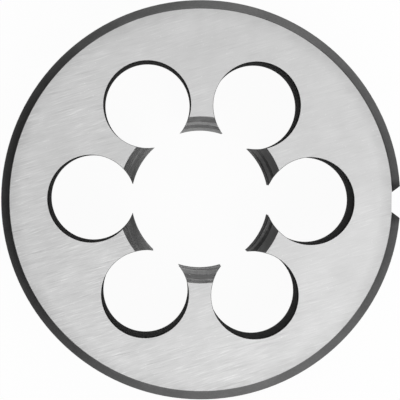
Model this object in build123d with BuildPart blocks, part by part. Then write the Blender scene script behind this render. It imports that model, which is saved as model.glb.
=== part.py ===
"""Round threading die for an M22 x 2.5 thread: one turned, drilled and tapped steel disc."""

from build123d import *
import os
from math import ceil, radians, sqrt, tan

os.makedirs("parts", exist_ok=True)

# All lengths are in millimetres. The die lies on its back face, with the thread axis up +Z
# through the origin and the setting notch towards +X.

# Body.
OUTSIDE_DIAMETER = 55.0
THICKNESS = 22.0
EDGE_CHAMFER = 1.1

# Right-hand internal thread with symmetric metric flanks.
THREAD_DIAMETER = 22.0
THREAD_PITCH = 2.5
FLANK_ANGLE = 60.0

# The groove is cut this much deeper than the thread diameter, to clear the rod's crests, and
# its middle passes the +X side at this height.
ROOT_CLEARANCE = 0.2
THREAD_START = 1.5

# Lead cone at each end of the thread, which takes the first cuts.
LEAD_HALF_ANGLE = 20.0
MOUTH_MARGIN = 0.45

# Clearance holes, which break into the bore and leave a cutting land between each pair.
HOLE_COUNT = 6
HOLE_DIAMETER = 12.0
HOLE_BREAKTHROUGH = 0.57

# Setting notch down the rim, beside the first clearance hole.
NOTCH_WIDTH = 4.5
NOTCH_DEPTH = 1.3
NOTCH_ANGLE = 70.0

# Conical seats round the rim for the clamping screws of a die holder.
SEAT_COUNT = 4
SEAT_DIAMETER = 5.0
SEAT_ANGLE = 90.0
SEAT_START = 45.0

# How far a cutting shape runs past the surface that it opens.
CUT_MARGIN = 0.3

# Sizes that follow from the values above.
outside_radius = OUTSIDE_DIAMETER / 2
rim_edge_radius = outside_radius - EDGE_CHAMFER
major_radius = THREAD_DIAMETER / 2
sharp_thread_depth = THREAD_PITCH * sqrt(3) / 2
minor_radius = major_radius - sharp_thread_depth * 5 / 8
mouth_radius = major_radius + MOUTH_MARGIN
lead_length = (mouth_radius - minor_radius) / tan(radians(LEAD_HALF_ANGLE))
hole_radius = HOLE_DIAMETER / 2
hole_circle_radius = minor_radius - HOLE_BREAKTHROUGH + hole_radius
land_angle = 360 / HOLE_COUNT
land_rise = THREAD_PITCH / HOLE_COUNT
land_passes = HOLE_COUNT * ceil(THICKNESS / THREAD_PITCH + 2)
flank_slope = tan(radians(FLANK_ANGLE / 2))
groove_root_radius = major_radius + ROOT_CLEARANCE
groove_root_half = THREAD_PITCH / 16 - ROOT_CLEARANCE * flank_slope
groove_open_radius = minor_radius - CUT_MARGIN
groove_open_half = groove_root_half + (groove_root_radius - groove_open_radius) * flank_slope
notch_floor_radius = outside_radius - NOTCH_DEPTH
notch_slope = tan(radians(NOTCH_ANGLE / 2))
notch_floor_half = NOTCH_WIDTH / 2 - NOTCH_DEPTH * notch_slope
notch_open_half = NOTCH_WIDTH / 2 + CUT_MARGIN * notch_slope
seat_cutter_radius = SEAT_DIAMETER / 2 + CUT_MARGIN * tan(radians(SEAT_ANGLE / 2))
seat_cutter_length = seat_cutter_radius / tan(radians(SEAT_ANGLE / 2))

# One pass of the thread groove across one land. It starts and ends in the middle of a
# clearance hole, so its end faces never meet the steel.
with BuildPart() as groove_pass:
    with BuildLine() as groove_path:
        Helix(pitch=THREAD_PITCH, height=land_rise, radius=minor_radius)
    with BuildSketch(Plane.XZ) as groove_profile:
        with BuildLine():
            Polyline(
                (groove_open_radius, -groove_open_half),
                (groove_root_radius, -groove_root_half),
                (groove_root_radius, groove_root_half),
                (groove_open_radius, groove_open_half),
                close=True,
            )
        make_face()
    sweep(path=groove_path.line, is_frenet=True)

# Each pass is turned by one land from the last and lifted by its share of the pitch.
groove_locations = [
    Location((0, 0, THREAD_START - THREAD_PITCH + index * land_rise), (0, 0, index * land_angle))
    for index in range(land_passes)
]

with BuildPart() as threading_die:
    # Disc with chamfered edges and a bore at the minor diameter, opened by the lead cones.
    with BuildSketch(Plane.XZ) as half_section:
        with BuildLine():
            Polyline(
                (mouth_radius, 0),
                (rim_edge_radius, 0),
                (outside_radius, EDGE_CHAMFER),
                (outside_radius, THICKNESS - EDGE_CHAMFER),
                (rim_edge_radius, THICKNESS),
                (mouth_radius, THICKNESS),
                (minor_radius, THICKNESS - lead_length),
                (minor_radius, lead_length),
                close=True,
            )
        make_face()
    revolve(axis=Axis.Z)

    # Clearance holes, which cut the bore wall into separate lands.
    with PolarLocations(hole_circle_radius, HOLE_COUNT):
        Hole(radius=hole_radius)

    # Thread groove across every land, at every turn.
    with Locations(*groove_locations):
        add(groove_pass.part, mode=Mode.SUBTRACT)

    # Setting notch with sloping sides and a flat floor.
    with BuildSketch() as notch_outline:
        with BuildLine():
            Polyline(
                (notch_floor_radius, -notch_floor_half),
                (outside_radius + CUT_MARGIN, -notch_open_half),
                (outside_radius + CUT_MARGIN, notch_open_half),
                (notch_floor_radius, notch_floor_half),
                close=True,
            )
        make_face()
    extrude(amount=THICKNESS, mode=Mode.SUBTRACT)

    # Screw seats, halfway up the rim, with their axes towards the thread axis.
    with Locations((0, 0, THICKNESS / 2)):
        with PolarLocations(outside_radius + CUT_MARGIN, SEAT_COUNT, start_angle=SEAT_START):
            Cone(
                bottom_radius=0,
                top_radius=seat_cutter_radius,
                height=seat_cutter_length,
                rotation=(0, 90, 0),
                align=(Align.CENTER, Align.CENTER, Align.MAX),
                mode=Mode.SUBTRACT,
            )

threading_die.part.label = "threading_die"
export_step(threading_die.part, "parts/threading_die.step")
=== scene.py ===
"""The look of a round threading die: ground faces, dark turned edges and a cut thread."""

import math

import bmesh
import bpy
from mathutils import Matrix, Vector


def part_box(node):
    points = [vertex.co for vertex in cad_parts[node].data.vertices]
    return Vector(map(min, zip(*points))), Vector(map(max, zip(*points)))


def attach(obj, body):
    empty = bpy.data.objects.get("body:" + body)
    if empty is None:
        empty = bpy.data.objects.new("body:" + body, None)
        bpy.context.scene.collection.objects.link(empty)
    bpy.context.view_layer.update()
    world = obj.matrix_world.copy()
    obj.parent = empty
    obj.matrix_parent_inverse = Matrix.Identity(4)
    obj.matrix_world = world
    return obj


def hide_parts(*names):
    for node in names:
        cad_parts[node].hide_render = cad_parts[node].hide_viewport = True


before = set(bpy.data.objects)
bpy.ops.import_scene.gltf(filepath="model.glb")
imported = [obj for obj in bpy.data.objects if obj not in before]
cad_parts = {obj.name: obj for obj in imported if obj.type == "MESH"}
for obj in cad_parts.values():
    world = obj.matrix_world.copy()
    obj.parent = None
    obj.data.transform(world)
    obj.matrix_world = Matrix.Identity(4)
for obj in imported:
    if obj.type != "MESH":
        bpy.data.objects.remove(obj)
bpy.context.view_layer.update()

MM = 0.001
DIE = "threading_die"
low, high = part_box(DIE)

# Sizes in millimetres. The height and the rim come from the frame; the rest repeat the die's own sizes.
THICKNESS = (high.z - low.z) / MM
RIM_RADIUS = (high.y - low.y) / 2 / MM
EDGE_CHAMFER = 1.1
THREAD_RADIUS = 11.0
PITCH = 2.5
ROOT_RADIUS = 11.2
THREAD_START = 1.5
LEAD_HALF_ANGLE = math.radians(20)
MOUTH_RADIUS = 11.45
HOLES = 6
HOLE_RADIUS = 6.0
HOLE_BREAKTHROUGH = 0.57
NOTCH_WIDTH = 4.5
NOTCH_DEPTH = 1.3
NOTCH_HALF_ANGLE = math.radians(35)
SEATS = 4
SEAT_START = math.radians(45)
SEAT_DEPTH = 2.5

MINOR_RADIUS = THREAD_RADIUS - PITCH * math.sqrt(3) / 2 * 5 / 8
HOLE_CIRCLE = MINOR_RADIUS - HOLE_BREAKTHROUGH + HOLE_RADIUS
NOTCH_FLOOR = RIM_RADIUS - NOTCH_DEPTH
STEP_ANGLE = math.tau / HOLES

# How worn the edges are, as rounding in millimetres, and for the seats as a share of their depth.
MOUTH_WEAR = 0.05
CREST_WEAR = 0.04
ROOT_ROUND = 0.12
RIM_WEAR = 0.12
SEAT_WEAR = 0.06

# Mesh divisions.
ROWS_PER_PITCH = 32
LAND_COLUMNS = 16
SHOULDER_COLUMNS = 5
WALL_COLUMNS = 60
WALL_CLEARANCE = math.radians(2)
CORNER_STEPS = 3
RIM_COLUMNS = 144
SEAT_COLUMNS = 3
SEAT_RING = 48
SEAT_RINGS = (1 + SEAT_WEAR, 1 + SEAT_WEAR / 3, 1 - SEAT_WEAR, 0.7, 0.4, 0.12)

# Points from the middle of the notch to its edge, and the first rim column past that edge.
NOTCH_POINTS = 7
FIRST_COLUMN = 3

# Rounds that a point on a land takes to settle between the thread and the holes.
SETTLING_ROUNDS = 6

# Shading is smooth up to this angle between two faces.
CORNER_ANGLE = math.radians(28)

FACE, RIM, LAND, WALL = range(4)


def rounded_max(a, b, width):
    """The larger of two values, with the corner between them eased over a width."""
    ease = max(width - abs(a - b), 0.0) / width
    return max(a, b) + ease * ease * width / 4


def rounded_min(a, b, width):
    """The smaller of two values, eased in the same way."""
    return -rounded_max(-a, -b, width)


def depth_from_face(z):
    return min(z, THICKNESS - z)


def mouth_round(z):
    """How far an edge in an end face has worn back, just under that face."""
    reach = max(1 - depth_from_face(z) / MOUTH_WEAR, 0.0)
    return MOUTH_WEAR * (1 - math.sqrt(max(1 - reach * reach, 0.0)))


def bore_wall(z):
    """Radius of the lead cones and of the minor diameter between them."""
    cone = MOUTH_RADIUS - depth_from_face(z) * math.tan(LEAD_HALF_ANGLE)
    return rounded_max(cone, MINOR_RADIUS, CREST_WEAR) + mouth_round(z)


def groove_centre(angle):
    """Height at which the thread groove passes an angle, up to whole pitches."""
    return THREAD_START + PITCH * angle / math.tau


def land_radius(angle, z):
    """Radius of a threaded land: the bore wall, opened by the groove."""
    across = z - groove_centre(angle)
    across = abs(across - PITCH * round(across / PITCH))
    flank = THREAD_RADIUS - (across - PITCH / 16) * math.sqrt(3)
    return rounded_max(bore_wall(z), rounded_min(ROOT_RADIUS, flank, ROOT_ROUND), CREST_WEAR)


def land_half_angle(radius, hole):
    """Half the angle that a land spans at a radius, between two holes."""
    cosine = (radius**2 + HOLE_CIRCLE**2 - hole**2) / (2 * radius * HOLE_CIRCLE)
    return STEP_ANGLE / 2 - math.acos(min(cosine, 1.0))


def land_point(middle, share, row):
    """A point on a land: share runs from -1 to 1 across it, and rows follow the thread."""
    follow = min(depth_from_face(row) / EDGE_CHAMFER, 1.0)
    hole = HOLE_RADIUS + mouth_round(row)
    radius, z = bore_wall(row), row
    for _ in range(SETTLING_ROUNDS):
        swing = share * land_half_angle(radius, hole)
        z = row + follow * PITCH * swing / math.tau
        radius = land_radius(middle + swing, z)
        hole = HOLE_RADIUS + mouth_round(z)
    return polar(radius, middle + swing, z)


def polar(radius, angle, z):
    return Vector((radius * math.cos(angle), radius * math.sin(angle), z))


def land_rows(middle):
    """Heights of the rows on a land, at steps of the pitch that keep to the thread's corners."""
    step = PITCH / ROWS_PER_PITCH
    start = groove_centre(middle) % step
    count = int(THICKNESS / step)
    inner = [start + step * i for i in range(count + 1)]
    clear = EDGE_CHAMFER
    inner = [z for z in inner if clear < z < THICKNESS - clear]
    ends = [0.0, 0.3 * MOUTH_WEAR, MOUTH_WEAR, 0.25 * clear, 0.5 * clear, 0.75 * clear]
    return ends + inner + [THICKNESS - z for z in reversed(ends)]


def bridge(bm, first, second, material, closed=False):
    """Faces between two chains of vertices, whatever their counts, by the shorter diagonal."""
    if closed:
        first, second = first + first[:1], second + second[:1]
    i = j = 0
    while i < len(first) - 1 or j < len(second) - 1:
        a, b = first[i], second[j]
        step_first = j == len(second) - 1
        if i < len(first) - 1 and j < len(second) - 1:
            c, d = first[i + 1], second[j + 1]
            step_first = (c.co - b.co).length < (d.co - a.co).length
        corner = first[i + 1] if step_first else second[j + 1]
        bm.faces.new((a, corner, b)).material_index = material
        i, j = (i + 1, j) if step_first else (i, j + 1)


def grid(bm, columns, material):
    """Quads between neighbouring columns of equally many vertices."""
    for left, right in zip(columns, columns[1:]):
        for a, b, c, d in zip(left, right, right[1:], left[1:]):
            bm.faces.new((a, b, c, d)).material_index = material


def hole_frame(index):
    """Centre of a clearance hole, and its directions away from the thread and along the circle."""
    outward = polar(1.0, STEP_ANGLE * index, 0.0)
    return outward * HOLE_CIRCLE, outward, Vector((-outward.y, outward.x, 0.0))


def hole_point(index, turn, z):
    centre, outward, along = hole_frame(index)
    radius = HOLE_RADIUS + mouth_round(z)
    place = centre + (outward * math.cos(turn) + along * math.sin(turn)) * radius
    return Vector((place.x, place.y, z))


def hole_turn(index, point):
    centre, outward, along = hole_frame(index)
    arm = point - centre
    return math.atan2(arm.dot(along), arm.dot(outward))


def wall_limit():
    """Turn round a hole at which every land, even at its mouth, has ended."""
    radius = MOUTH_RADIUS + 2 * MOUTH_WEAR
    cosine = (HOLE_CIRCLE**2 + HOLE_RADIUS**2 - radius**2) / (2 * HOLE_CIRCLE * HOLE_RADIUS)
    return math.pi - math.acos(cosine) - WALL_CLEARANCE


def add_bore(bm):
    """Lands and clearance holes as one closed wall. Returns its loops in the two end faces."""
    limit = wall_limit()
    ends = [0.0, 0.3 * MOUTH_WEAR, MOUTH_WEAR]
    wall_rows = ends + [THICKNESS / 4, THICKNESS / 2, THICKNESS * 3 / 4]
    wall_rows += [THICKNESS - z for z in reversed(ends)]
    lands = []
    for index in range(HOLES):
        middle = STEP_ANGLE * (index + 0.5)
        rows = land_rows(middle)
        columns = []
        for column in range(LAND_COLUMNS + 1):
            share = 2 * column / LAND_COLUMNS - 1
            columns.append([bm.verts.new(land_point(middle, share, row)) for row in rows])
        grid(bm, columns, LAND)
        lands.append(columns)
    loop = []
    for index in range(HOLES):
        before, after = lands[index - 1][-1], lands[index][0]
        leave = shoulder(bm, index, before, -limit)
        arrive = shoulder(bm, index, after, limit)
        pitch = 2 * limit / WALL_COLUMNS
        wall = []
        for column in range(1, WALL_COLUMNS):
            turn = -limit + pitch * column
            wall.append([bm.verts.new(hole_point(index, turn, z)) for z in wall_rows])
        grid(bm, leave, WALL)
        bridge(bm, leave[-1], wall[0], WALL)
        grid(bm, wall, WALL)
        bridge(bm, wall[-1], arrive[-1], WALL)
        grid(bm, arrive[::-1], WALL)
        loop += leave + wall + arrive[:0:-1] + lands[index][:-1]
    return [column[0] for column in loop], [column[-1] for column in loop]


def shoulder(bm, index, edge, limit):
    """Columns on a hole's wall from a land's edge, row for row, to where the plain wall starts."""
    columns = [edge]
    for step in range(1, SHOULDER_COLUMNS + 1):
        column = []
        for vertex in edge:
            turn = hole_turn(index, vertex.co)
            turn += (limit - turn) * step / SHOULDER_COLUMNS
            column.append(bm.verts.new(hole_point(index, turn, vertex.co.z)))
        columns.append(column)
    return columns


def eased_corner(before, corner, after, ease):
    """Points that round a corner of a profile."""
    start = corner + (before - corner).normalized() * ease
    end = corner + (after - corner).normalized() * ease
    points = []
    for step in range(CORNER_STEPS + 1):
        t = step / CORNER_STEPS
        points.append(start.lerp(corner, t).lerp(corner.lerp(end, t), t))
    return points


def rim_profile():
    """Radius and height from the back face's edge, over the chamfers and the rim, to the front."""
    edge = RIM_RADIUS - EDGE_CHAMFER
    corners = [
        Vector((edge - 1, 0)),
        Vector((edge, 0)),
        Vector((RIM_RADIUS, EDGE_CHAMFER)),
        Vector((RIM_RADIUS, THICKNESS - EDGE_CHAMFER)),
        Vector((edge, THICKNESS)),
        Vector((edge - 1, THICKNESS)),
    ]
    rounded = []
    for before, corner, after in zip(corners, corners[1:], corners[2:]):
        rounded.append(eased_corner(before, corner, after, RIM_WEAR))
    half = seat_half_height()
    band = [Vector((RIM_RADIUS, THICKNESS / 2 + half * part)) for part in (-1, -0.5, 0, 0.5, 1)]
    return rounded[0] + rounded[1] + band + rounded[2] + rounded[3]


def seat_half_height():
    """Half the side of the square that each screw seat is cut from."""
    return RIM_RADIUS * SEAT_COLUMNS * math.tau / RIM_COLUMNS


def notch_edge(radius):
    """Angle at which a sloping side of the notch meets the surface at a radius."""
    slope = math.tan(NOTCH_HALF_ANGLE)
    floor_half = NOTCH_WIDTH / 2 - NOTCH_DEPTH * slope
    offset = floor_half - NOTCH_FLOOR * slope
    reach = math.sqrt(radius**2 * (1 + slope**2) - offset**2)
    x = (reach - offset * slope) / (1 + slope**2)
    return Vector((x, offset + x * slope))


def rim_row(bm, radius, z):
    """One closed row round the rim: the notch first, then the fixed columns."""
    corner = Vector((NOTCH_FLOOR, NOTCH_WIDTH / 2 - NOTCH_DEPTH * math.tan(NOTCH_HALF_ANGLE)))
    edge = notch_edge(radius)
    half = [corner * Vector((1, part)) for part in (0, 1 / 3, 2 / 3)]
    half += [corner.lerp(edge, part) for part in (0, 1 / 3, 2 / 3, 1)]
    mirrored = [point * Vector((1, -1)) for point in half[:0:-1]]
    places = [Vector((point.x, point.y, z)) for point in half]
    for column in range(FIRST_COLUMN, RIM_COLUMNS - FIRST_COLUMN + 1):
        places.append(polar(radius, math.tau * column / RIM_COLUMNS, z))
    places += [Vector((point.x, point.y, z)) for point in mirrored]
    return [bm.verts.new(place) for place in places]


def rim_column_at(angle):
    """Place in a rim row of the column at an angle."""
    return NOTCH_POINTS - FIRST_COLUMN + round(angle / math.tau * RIM_COLUMNS)


def add_rim(bm):
    """Chamfers, rim, notch and screw seats. Returns the loops in the two end faces."""
    profile = rim_profile()
    rows = [rim_row(bm, point.x, point.y) for point in profile]
    first_band = next(i for i, point in enumerate(profile) if point.y > THICKNESS / 4)
    bands = range(first_band, first_band + 4)
    seats = [rim_column_at(SEAT_START + math.tau * i / SEATS) for i in range(SEATS)]
    for i, (under, over) in enumerate(zip(rows, rows[1:])):
        for j in range(len(under)):
            k = (j + 1) % len(under)
            if i in bands and any(s - SEAT_COLUMNS <= j < s + SEAT_COLUMNS for s in seats):
                continue
            bm.faces.new((under[j], under[k], over[k], over[j])).material_index = RIM
    for number, seat in enumerate(seats):
        band = [rows[i][seat - SEAT_COLUMNS : seat + SEAT_COLUMNS + 1] for i in (*bands, first_band + 4)]
        border = band[0][:-1] + [row[-1] for row in band[:-1]]
        border += band[-1][:0:-1] + [row[0] for row in band[:0:-1]]
        add_seat(bm, SEAT_START + math.tau * number / SEATS, border)
    return rows[0], rows[-1]


def seat_reach(turn):
    """Distance from a seat's axis to its edge on the rim, in a direction round the axis."""
    tip = RIM_RADIUS - SEAT_DEPTH
    side = math.cos(turn) ** 2
    return (math.sqrt(tip**2 + (1 + side) * (RIM_RADIUS**2 - tip**2)) - tip) / (1 + side)


def add_seat(bm, angle, border):
    """A conical seat inside a square of the rim."""
    outward = polar(1.0, angle, 0.0)
    along = Vector((-outward.y, outward.x, 0.0))
    rings = []
    for share in SEAT_RINGS:
        ring = []
        for step in range(SEAT_RING):
            turn = math.tau * (step / SEAT_RING + 5 / 8)
            reach = seat_reach(turn) * share
            side = reach * math.cos(turn)
            outer = math.sqrt(RIM_RADIUS**2 - side**2)
            cone = RIM_RADIUS - SEAT_DEPTH + reach
            depth = rounded_min(outer, cone, SEAT_WEAR * SEAT_DEPTH)
            ring.append(bm.verts.new(outward * depth + along * side + seat_height(reach, turn)))
        rings.append(ring)
    bridge(bm, border, rings[0], RIM, closed=True)
    for outer_ring, inner_ring in zip(rings, rings[1:]):
        bridge(bm, outer_ring, inner_ring, RIM, closed=True)
    tip = bm.verts.new(outward * (RIM_RADIUS - SEAT_DEPTH) + seat_height(0.0, 0.0))
    last = rings[-1]
    for a, b in zip(last, last[1:] + last[:1]):
        bm.faces.new((a, b, tip)).material_index = RIM


def seat_height(reach, turn):
    return Vector((0.0, 0.0, THICKNESS / 2 + reach * math.sin(turn)))


def loop_edges(loop):
    pairs = zip(loop, loop[1:] + loop[:1])
    return [next(e for e in a.link_edges if e.other_vert(a) is b) for a, b in pairs]


def add_end_face(bm, outer, inner):
    """A flat ring between the rim's loop and the loop of the lands and holes."""
    edges = loop_edges(outer) + loop_edges(inner)
    filled = bmesh.ops.triangle_fill(bm, use_beauty=True, edges=edges)
    for item in filled["geom"]:
        if isinstance(item, bmesh.types.BMFace):
            item.material_index = FACE


def smooth_but_corners(bm):
    """Smooth shading that stops at corners and at the border of the flat end faces."""
    for face in bm.faces:
        face.smooth = True
    for edge in bm.edges:
        materials = {face.material_index for face in edge.link_faces}
        border = FACE in materials and len(materials) > 1
        edge.smooth = not border and edge.calc_face_angle(0.0) < CORNER_ANGLE


def build_die():
    bm = bmesh.new()
    rim_back, rim_front = add_rim(bm)
    bore_back, bore_front = add_bore(bm)
    add_end_face(bm, rim_back, bore_back)
    add_end_face(bm, rim_front, bore_front)
    bmesh.ops.delete(bm, geom=[v for v in bm.verts if not v.link_faces], context="VERTS")
    bmesh.ops.recalc_face_normals(bm, faces=bm.faces)
    bmesh.ops.scale(bm, vec=(MM, MM, MM), verts=bm.verts)
    smooth_but_corners(bm)
    mesh = bpy.data.meshes.new("die_body")
    bm.to_mesh(mesh)
    bm.free()
    die = bpy.data.objects.new("die_body", mesh)
    bpy.context.scene.collection.objects.link(die)
    return die


# Materials. Every pattern is laid out in the die's own millimetres.

FACE_GREY = 0.555
EDGE_GREY = 0.075
THREAD_GREY = 0.4
# Grey of the hole walls: dark steel, darkened further as painted shade.
WALL_SHADE_GREY = 0.015
# Where the painted shade in the thread groove begins and is full, in millimetres outside the bore wall.
GROOVE_SHADE_EDGE = (0.01, 0.06)
SCUFF_LEAN = 0.009
SCUFF_RANGE = (0.35, 0.75)
SCUFF_LEAST = 0.35
SPECKS = (0.66, 0.74)
SCRATCHES = (0.57, 0.72)
# Reach of the painted shade beside the notch, in millimetres across the die.
NOTCH_SHADE_REACH = (3.2, 2.3)
BRIGHT_PATCH_PLACE = (8.9, -4.2, 17.4)
BRIGHT_PATCH_REACH = (1.3, 0.3)
BRIGHT_PATCH_BREAK = (0.45, 0.6)
RIM_DARK_REACH = (24.5, 26.6)


def node(tree, kind, inputs=None, **settings):
    """A new node, with plain values for its inputs, by name or number."""
    made = tree.nodes.new(kind)
    for name, value in settings.items():
        setattr(made, name, value)
    for name, value in (inputs or {}).items():
        made.inputs[name].default_value = value
    return made


def maths(tree, operation, first, second=0.0):
    """A math node fed by sockets or plain numbers. Returns its output."""
    made = node(tree, "ShaderNodeMath", operation=operation)
    for slot, value in enumerate((first, second)):
        if isinstance(value, (int, float)):
            made.inputs[slot].default_value = value
        else:
            tree.links.new(value, made.inputs[slot])
    return made.outputs[0]


def new_group(name, inputs, outputs):
    """An empty shader node group with named value inputs and outputs."""
    group = bpy.data.node_groups.new(name, "ShaderNodeTree")
    for label, default in inputs.items():
        socket = group.interface.new_socket(label, in_out="INPUT", socket_type="NodeSocketFloat")
        socket.default_value = default
    for label in outputs:
        group.interface.new_socket(label, in_out="OUTPUT", socket_type="NodeSocketFloat")
    return group, group.nodes.new("NodeGroupInput"), group.nodes.new("NodeGroupOutput")


def millimetres(tree):
    """The die's own coordinates, in millimetres."""
    place = node(tree, "ShaderNodeTexCoord")
    scaled = node(tree, "ShaderNodeVectorMath", operation="SCALE")
    scaled.inputs["Scale"].default_value = 1 / MM
    tree.links.new(place.outputs["Object"], scaled.inputs[0])
    return scaled.outputs[0]


def noise(tree, vector, scale, detail=3.0, roughness=0.55):
    made = node(tree, "ShaderNodeTexNoise", {"Scale": scale, "Detail": detail, "Roughness": roughness})
    tree.links.new(vector, made.inputs["Vector"])
    return made.outputs["Fac"]


def centred(tree, value, strength):
    """A pattern about 0.5, turned into one about 0 with a strength."""
    return maths(tree, "MULTIPLY", maths(tree, "SUBTRACT", value, 0.5), strength)


def faded(tree, pattern, mask):
    """A pattern about 0.5 that keeps its full contrast only where the mask is one."""
    return maths(tree, "ADD", maths(tree, "MULTIPLY", maths(tree, "SUBTRACT", pattern, 0.5), mask), 0.5)


def between(tree, value, start, end):
    """Nought up to the start, one from the end on, and a straight rise between them."""
    share = node(tree, "ShaderNodeMapRange", {"From Min": start, "From Max": end})
    tree.links.new(value, share.inputs["Value"])
    return share.outputs[0]


def from_axis(tree, x, y):
    """Distance from the thread axis."""
    squares = maths(tree, "ADD", maths(tree, "MULTIPLY", x, x), maths(tree, "MULTIPLY", y, y))
    return maths(tree, "SQRT", squares)


def grinding_group():
    """Fine parallel scratches, straight across the die."""
    levels = {"Angle": math.radians(19), "Fine": 5.5, "Length": 0.36}
    group, given, made = new_group("grinding_lines", levels, ("Height", "Scratches"))
    turn = node(group, "ShaderNodeVectorRotate", rotation_type="Z_AXIS")
    group.links.new(millimetres(group), turn.inputs["Vector"])
    group.links.new(maths(group, "MULTIPLY", given.outputs["Angle"], -1.0), turn.inputs["Angle"])
    parts = node(group, "ShaderNodeSeparateXYZ")
    group.links.new(turn.outputs[0], parts.inputs[0])
    stretched = node(group, "ShaderNodeCombineXYZ")
    group.links.new(maths(group, "MULTIPLY", parts.outputs[0], given.outputs["Length"]), stretched.inputs[0])
    group.links.new(maths(group, "MULTIPLY", parts.outputs[1], given.outputs["Fine"]), stretched.inputs[1])
    group.links.new(parts.outputs[2], stretched.inputs[2])
    height = noise(group, stretched.outputs[0], 1.0, 4.0, 0.6)
    group.links.new(height, made.inputs["Height"])
    group.links.new(between(group, height, *SCRATCHES), made.inputs["Scratches"])
    return group


def turning_group():
    """Fine rings round the thread axis, as a lathe leaves them on cones and cylinders."""
    group, given, made = new_group("turning_lines", {"Fine": 12.0, "Around": 1.5}, ("Height",))
    parts = node(group, "ShaderNodeSeparateXYZ")
    group.links.new(millimetres(group), parts.inputs[0])
    x, y, z = parts.outputs
    radius = from_axis(group, x, y)
    angle = maths(group, "ARCTAN2", y, x)
    ring = node(group, "ShaderNodeCombineXYZ")
    group.links.new(maths(group, "MULTIPLY", radius, given.outputs["Fine"]), ring.inputs[0])
    group.links.new(maths(group, "MULTIPLY", z, given.outputs["Fine"]), ring.inputs[1])
    group.links.new(maths(group, "MULTIPLY", angle, given.outputs["Around"]), ring.inputs[2])
    group.links.new(noise(group, ring.outputs[0], 1.0, 3.0), made.inputs["Height"])
    return group


def mottle_group():
    """Soft cloudy patches with small flecks in them."""
    group, given, made = new_group("mottle", {"Patch": 0.12, "Fleck": 3.5}, ("Patches", "Flecks"))
    place = millimetres(group)
    for scale, label, detail in (("Patch", "Patches", 3.0), ("Fleck", "Flecks", 2.0)):
        cloud = node(group, "ShaderNodeTexNoise", {"Detail": detail})
        group.links.new(place, cloud.inputs["Vector"])
        group.links.new(given.outputs[scale], cloud.inputs["Scale"])
        group.links.new(cloud.outputs["Fac"], made.inputs[label])
    return group


def use_group(tree, group, **values):
    made = node(tree, "ShaderNodeGroup", node_tree=group)
    for label, value in values.items():
        made.inputs[label].default_value = value
    return made.outputs


def steel(name, metallic, specular=0.5):
    """A new material with its shader."""
    material = bpy.data.materials.new(name)
    material.use_nodes = True
    tree = material.node_tree
    shader = tree.nodes["Principled BSDF"]
    shader.inputs["Metallic"].default_value = metallic
    shader.inputs["Specular IOR Level"].default_value = specular
    return material, tree, shader


def vary(tree, shader, label, base, changes):
    """Drives a shader input with a base value plus patterns, each with a strength."""
    total = base
    for pattern, strength in changes:
        total = maths(tree, "ADD", centred(tree, pattern, strength), total)
    if label == "Base Color":
        grey = node(tree, "ShaderNodeCombineColor")
        for channel in grey.inputs:
            tree.links.new(total, channel)
        total = grey.outputs[0]
    tree.links.new(total, shader.inputs[label])


def relief(tree, shader, heights, distance):
    """Bump from patterns, each with a weight. The distance is in millimetres."""
    total = 0.0
    for pattern, weight in heights:
        total = maths(tree, "ADD", maths(tree, "MULTIPLY", pattern, weight), total)
    bump = node(tree, "ShaderNodeBump", {"Strength": 1.0, "Distance": distance * MM})
    tree.links.new(total, bump.inputs["Height"])
    tree.links.new(bump.outputs[0], shader.inputs["Normal"])


def ground_face_steel(grinding, mottle):
    """Surface-ground steel: short scratches, scuffed more on one side, and soft darker patches by the rim.
    """
    material, tree, shader = steel("ground_face", 0.6, 0.3)
    parts = node(tree, "ShaderNodeSeparateXYZ")
    tree.links.new(millimetres(tree), parts.inputs[0])
    x, y, _ = parts.outputs
    cloud = use_group(tree, mottle)
    rim_patches = use_group(tree, mottle, Patch=0.45)["Patches"]
    soft = use_group(tree, mottle, Patch=0.25)["Patches"]
    side = maths(tree, "MULTIPLY", maths(tree, "ADD", x, y), -SCUFF_LEAN)
    scuffs = between(tree, maths(tree, "ADD", side, cloud["Patches"]), *SCUFF_RANGE)
    scuffs = maths(tree, "ADD", maths(tree, "MULTIPLY", scuffs, 1 - SCUFF_LEAST), SCUFF_LEAST)
    lines = use_group(tree, grinding)
    fine = faded(tree, lines["Height"], scuffs)
    bright = maths(tree, "MULTIPLY", lines["Scratches"], scuffs)
    crossing = use_group(tree, grinding, Angle=math.radians(15), Fine=4.0, Length=0.15)
    dark = maths(tree, "MULTIPLY", crossing["Scratches"], scuffs)
    coarse = use_group(tree, grinding, Angle=math.radians(14), Fine=1.6, Length=0.12)["Height"]
    coarse = faded(tree, coarse, scuffs)
    specks = between(tree, cloud["Flecks"], *SPECKS)
    # Darker in soft patches towards the rim of the face.
    edge = maths(tree, "MULTIPLY", between(tree, from_axis(tree, x, y), *RIM_DARK_REACH), rim_patches)
    scratched = ((fine, 0.28), (coarse, 0.13), (bright, 0.1), (dark, -0.13))
    changes = scratched + ((soft, 0.12), (specks, 0.1), (edge, -0.2))
    vary(tree, shader, "Base Color", FACE_GREY, changes)
    vary(tree, shader, "Roughness", 0.38, ((coarse, 0.1), (cloud["Patches"], 0.06)))
    relief(tree, shader, ((fine, 1.0), (coarse, 1.0)), 0.004)
    return material


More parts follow.
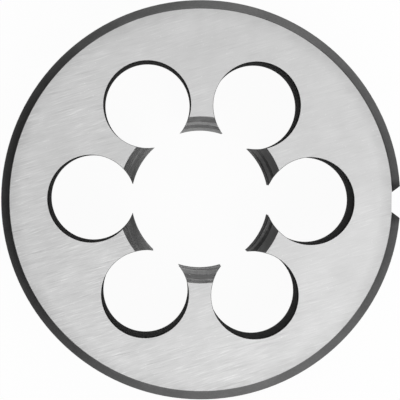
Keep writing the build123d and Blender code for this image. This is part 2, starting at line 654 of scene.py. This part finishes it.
def turned_edge_steel(turning, mottle):
    """Dark turned chamfers and rim, with painted shade making them darker still beside the notch."""
    material, tree, shader = steel("turned_edge", 1.0)
    rings = use_group(tree, turning)["Height"]
    cloud = use_group(tree, mottle, Patch=0.3)
    parts = node(tree, "ShaderNodeSeparateXYZ")
    tree.links.new(millimetres(tree), parts.inputs[0])
    # Painted shade: the rim is darkened beside the notch, on the notch's side of the die.
    beside = between(tree, maths(tree, "ABSOLUTE", parts.outputs[1]), *NOTCH_SHADE_REACH)
    notch_shade = maths(tree, "MULTIPLY", beside, maths(tree, "GREATER_THAN", parts.outputs[0], 0.0))
    changes = ((rings, 0.03), (cloud["Patches"], 0.06), (cloud["Flecks"], 0.04), (notch_shade, -0.05))
    vary(tree, shader, "Base Color", EDGE_GREY, changes)
    vary(tree, shader, "Roughness", 0.42, ((rings, 0.1), (cloud["Patches"], 0.15)))
    relief(tree, shader, ((rings, 1.0), (cloud["Flecks"], 1.0)), 0.004)
    return material


def groove_shade_mask(tree):
    """Painted shade mask: one inside the thread groove, nought on the lead cones and the crests between."""
    parts = node(tree, "ShaderNodeSeparateXYZ")
    tree.links.new(millimetres(tree), parts.inputs[0])
    x, y, z = parts.outputs
    radius = from_axis(tree, x, y)
    depth = maths(tree, "MINIMUM", z, maths(tree, "SUBTRACT", THICKNESS, z))
    fall = maths(tree, "MULTIPLY", depth, -math.tan(LEAD_HALF_ANGLE))
    wall = maths(tree, "MAXIMUM", maths(tree, "ADD", fall, MOUTH_RADIUS), MINOR_RADIUS)
    return between(tree, maths(tree, "SUBTRACT", radius, wall), *GROOVE_SHADE_EDGE)


def cut_thread_steel(turning, mottle):
    """Bright lead cones brushed round the bore, with painted shade darkening the grooves between them."""
    material, tree, shader = steel("cut_thread", 1.0)
    shader.inputs["Specular Tint"].default_value = (0.0, 0.0, 0.0, 1.0)
    shader.inputs["Anisotropic"].default_value = 0.9
    shader.inputs["Anisotropic Rotation"].default_value = 0.25
    rings = use_group(tree, turning, Fine=8.0)["Height"]
    scores = use_group(tree, turning, Fine=1.2, Around=40.0)["Height"]
    cloud = use_group(tree, mottle, Patch=1.0)
    groove = groove_shade_mask(tree)
    # A broken patch on one land, brighter round a given point.
    away = node(tree, "ShaderNodeVectorMath", {1: BRIGHT_PATCH_PLACE}, operation="DISTANCE")
    tree.links.new(millimetres(tree), away.inputs[0])
    near = between(tree, away.outputs["Value"], *BRIGHT_PATCH_REACH)
    bright_patch = maths(tree, "MULTIPLY", near, between(tree, cloud["Flecks"], *BRIGHT_PATCH_BREAK))
    # Painted shade: the groove term makes the thread grooves darker than the lead cones and crests.
    changes = ((rings, 0.06), (scores, 0.09), (cloud["Patches"], 0.1), (groove, -0.17), (bright_patch, 0.3))
    vary(tree, shader, "Base Color", THREAD_GREY, changes)
    vary(tree, shader, "Roughness", 0.34, ((rings, 0.1), (cloud["Patches"], 0.1)))
    relief(tree, shader, ((rings, 1.0),), 0.003)
    return material


def shaded_hole_wall_steel(turning, mottle):
    """Drilled walls, near black and almost without gloss: their own dark steel, darkened further as painted
    shade for the depth of the holes.
    """
    material, tree, shader = steel("hole_wall", 0.0, 0.02)
    shader.inputs["Roughness"].default_value = 0.8
    rings = use_group(tree, turning, Fine=5.0, Around=0.5)["Height"]
    cloud = use_group(tree, mottle, Patch=0.4)
    # Painted shade: the near-black grey stands in part for the shade deep in the holes.
    vary(tree, shader, "Base Color", WALL_SHADE_GREY, ((rings, 0.006), (cloud["Patches"], 0.01)))
    relief(tree, shader, ((rings, 1.0), (cloud["Flecks"], 0.5)), 0.01)
    return material


# The studio. Lengths are in millimetres, but the half width of the floor and the lamp are in metres.

CAMERA_FOOT = Vector((-6.2, 4.6))
CAMERA_ABOVE = 557.0
CAMERA_AIM = Vector((-0.135, -0.018))
CAMERA_ROLL = math.radians(0.65)
VIEW_WIDTH = 54.95
SENSOR = 36.0
FLOOR_HALF = 8.0
FLOOR_GAP = 0.02
FLOOR_SHADOW = 0.04
LOW_LIGHT = {"Base": 0.48, "Right": 0.33, "Ends": 0.79, "Front": 0.07, "Mixed": 0.8}
HIGH_LIGHT = {"Base": -0.5, "Right": 0.55, "Ends": 2.2, "Front": 0.03}
OVERHEAD = 0.7
OVERHEAD_EDGE = (0.68, 0.98)
CARDS_RADIUS = 90.0
CARDS_TOP = 102.0
CARDS_SIDES = 96
CARDS_TURN = (26.0, 49.0)
TOP_LIGHT_PLACE = (0.14, -0.15, 0.48)
TOP_LIGHT_SIZE = 0.28
TOP_LIGHT_POWER = 0.46

# Keeps the side light's directions whole where they are measured straight above the die.
NEAR_AXIS = 1e-6


def add_camera():
    data = bpy.data.cameras.new("camera")
    data.sensor_width = SENSOR
    data.lens = SENSOR * CAMERA_ABOVE / VIEW_WIDTH
    camera = bpy.data.objects.new("camera", data)
    bpy.context.scene.collection.objects.link(camera)
    place = Vector((CAMERA_FOOT.x, CAMERA_FOOT.y, THICKNESS + CAMERA_ABOVE)) * MM
    aim = Vector((CAMERA_AIM.x, CAMERA_AIM.y, THICKNESS)) * MM
    up = Vector((-math.sin(CAMERA_ROLL), math.cos(CAMERA_ROLL), 0.0))
    back = (place - aim).normalized()
    right = up.cross(back).normalized()
    true_up = back.cross(right)
    turned = Matrix((right, true_up, back)).transposed().to_4x4()
    camera.matrix_world = Matrix.Translation(place) @ turned
    bpy.context.scene.camera = camera


def plane_mesh(name, half, height):
    bm = bmesh.new()
    corners = [(-half, -half), (half, -half), (half, half), (-half, half)]
    bm.faces.new([bm.verts.new((x, y, height)) for x, y in corners])
    mesh = bpy.data.meshes.new(name)
    bm.to_mesh(mesh)
    bm.free()
    made = bpy.data.objects.new(name, mesh)
    bpy.context.scene.collection.objects.link(made)
    return made


def paper_white():
    """White paper: plain white where it is looked at, straight or in a reflection, under a faint shadow."""
    material = bpy.data.materials.new("paper")
    material.use_nodes = True
    tree = material.node_tree
    tree.nodes.clear()
    output = node(tree, "ShaderNodeOutputMaterial")
    glow = node(tree, "ShaderNodeEmission", {"Color": (1, 1, 1, 1), "Strength": 1.0})
    matt = node(tree, "ShaderNodeBsdfDiffuse", {"Color": (1, 1, 1, 1)})
    path = node(tree, "ShaderNodeLightPath")
    mixed = node(tree, "ShaderNodeMixShader")
    seen = maths(tree, "MAXIMUM", path.outputs["Is Camera Ray"], path.outputs["Is Glossy Ray"])
    seen = maths(tree, "MAXIMUM", seen, path.outputs["Is Transmission Ray"])
    tree.links.new(maths(tree, "MULTIPLY", seen, 1 - FLOOR_SHADOW), mixed.inputs[0])
    tree.links.new(matt.outputs[0], mixed.inputs[1])
    tree.links.new(glow.outputs[0], mixed.inputs[2])
    tree.links.new(mixed.outputs[0], output.inputs["Surface"])
    return material


def add_floor():
    floor = plane_mesh("floor", FLOOR_HALF, -FLOOR_GAP * MM)
    floor.data.materials.append(paper_white())


def side_light_group():
    """Brightness of the studio by compass direction, for a point or direction X, Y."""
    levels = {"Base": 1.0, "Right": 0.0, "Ends": 0.0, "Front": 0.0, "Mixed": 0.0}
    group, given, made = new_group("side_light", {"X": 1.0, "Y": 0.0, **levels}, ("Brightness",))
    level = given.outputs
    x, y = level["X"], level["Y"]
    squares = maths(group, "ADD", maths(group, "MULTIPLY", x, x), maths(group, "MULTIPLY", y, y))
    length = maths(group, "SQRT", maths(group, "ADD", squares, NEAR_AXIS))
    x, y = maths(group, "DIVIDE", x, length), maths(group, "DIVIDE", y, length)
    ends = maths(group, "MULTIPLY", y, y)
    total = maths(group, "ADD", level["Base"], maths(group, "MULTIPLY", x, level["Right"]))
    total = maths(group, "ADD", total, maths(group, "MULTIPLY", ends, level["Ends"]))
    total = maths(group, "SUBTRACT", total, maths(group, "MULTIPLY", y, level["Front"]))
    mixed = maths(group, "MULTIPLY", maths(group, "MULTIPLY", ends, x), level["Mixed"])
    bright = maths(group, "MAXIMUM", maths(group, "ADD", total, mixed), 0.0)
    group.links.new(bright, made.inputs["Brightness"])
    return group


def light_from(tree, side_light, parts, levels):
    """The studio's brightness for separated coordinates, at one set of levels."""
    light = use_group(tree, side_light, **levels)
    tree.links.new(parts.outputs[0], light[0].node.inputs["X"])
    tree.links.new(parts.outputs[1], light[0].node.inputs["Y"])
    return light["Brightness"]


def blend(tree, value, start, end, first, second):
    """Turns one level into another as a value rises from start to end."""
    share = node(tree, "ShaderNodeMapRange", {"From Min": start, "From Max": end})
    share.interpolation_type = "SMOOTHSTEP"
    tree.links.new(value, share.inputs["Value"])
    mixed = node(tree, "ShaderNodeMix")
    tree.links.new(share.outputs[0], mixed.inputs["Factor"])
    for name, level in (("A", first), ("B", second)):
        if isinstance(level, float):
            mixed.inputs[name].default_value = level
        else:
            tree.links.new(level, mixed.inputs[name])
    return mixed.outputs[0]


def add_cards(side_light):
    """A ring of grey cards round the die, seen only by reflections."""
    bm = bmesh.new()
    rims = []
    for z in (0.0, CARDS_TOP):
        places = [polar(CARDS_RADIUS, math.tau * i / CARDS_SIDES, z) for i in range(CARDS_SIDES)]
        rims.append([bm.verts.new(place * MM) for place in places])
    grid(bm, [list(pair) for pair in zip(rims[0] + rims[0][:1], rims[1] + rims[1][:1])], 0)
    mesh = bpy.data.meshes.new("cards")
    bm.to_mesh(mesh)
    bm.free()
    cards = bpy.data.objects.new("cards", mesh)
    bpy.context.scene.collection.objects.link(cards)
    for ray in ("camera", "diffuse", "transmission", "volume_scatter", "shadow"):
        setattr(cards, "visible_" + ray, False)
    material = bpy.data.materials.new("grey_cards")
    material.use_nodes = True
    tree = material.node_tree
    tree.nodes.clear()
    parts = node(tree, "ShaderNodeSeparateXYZ")
    tree.links.new(node(tree, "ShaderNodeTexCoord").outputs["Object"], parts.inputs[0])
    low = light_from(tree, side_light, parts, LOW_LIGHT)
    high = light_from(tree, side_light, parts, HIGH_LIGHT)
    glow = node(tree, "ShaderNodeEmission", {"Strength": 1.0})
    height = parts.outputs[2]
    light = blend(tree, height, CARDS_TURN[0] * MM, CARDS_TURN[1] * MM, low, high)
    tree.links.new(light, glow.inputs["Color"])
    output = node(tree, "ShaderNodeOutputMaterial")
    tree.links.new(glow.outputs[0], output.inputs["Surface"])
    mesh.materials.append(material)


def add_top_light():
    """A round softbox above the front right, aimed at the die."""
    data = bpy.data.lights.new("top_light", "AREA")
    data.shape = "DISK"
    data.size = TOP_LIGHT_SIZE
    data.energy = TOP_LIGHT_POWER
    lamp = bpy.data.objects.new("top_light", data)
    bpy.context.scene.collection.objects.link(lamp)
    lamp.location = TOP_LIGHT_PLACE
    lamp.rotation_euler = Vector(TOP_LIGHT_PLACE).to_track_quat("Z", "Y").to_euler()


def light_world(side_light):
    """Soft light from above and from both ends. Looked at straight, it is plain white."""
    world = bpy.data.worlds.new("studio")
    bpy.context.scene.world = world
    world.use_nodes = True
    tree = world.node_tree
    back = tree.nodes["Background"]
    parts = node(tree, "ShaderNodeSeparateXYZ")
    tree.links.new(node(tree, "ShaderNodeTexCoord").outputs["Generated"], parts.inputs[0])
    side = light_from(tree, side_light, parts, HIGH_LIGHT)
    light = blend(tree, parts.outputs[2], *OVERHEAD_EDGE, side, OVERHEAD)
    seen = node(tree, "ShaderNodeLightPath").outputs["Is Camera Ray"]
    tree.links.new(maths(tree, "MAXIMUM", light, seen), back.inputs["Color"])


def main():
    scene = bpy.context.scene
    scene.view_settings.view_transform = "Standard"
    die = build_die()
    grinding, turning, mottle = grinding_group(), turning_group(), mottle_group()
    for material in (
        ground_face_steel(grinding, mottle),
        turned_edge_steel(turning, mottle),
        cut_thread_steel(turning, mottle),
        shaded_hole_wall_steel(turning, mottle),
    ):
        die.data.materials.append(material)
    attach(die, "root")
    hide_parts(DIE)
    add_camera()
    add_floor()
    side_light = side_light_group()
    light_world(side_light)
    add_cards(side_light)
    add_top_light()


main()
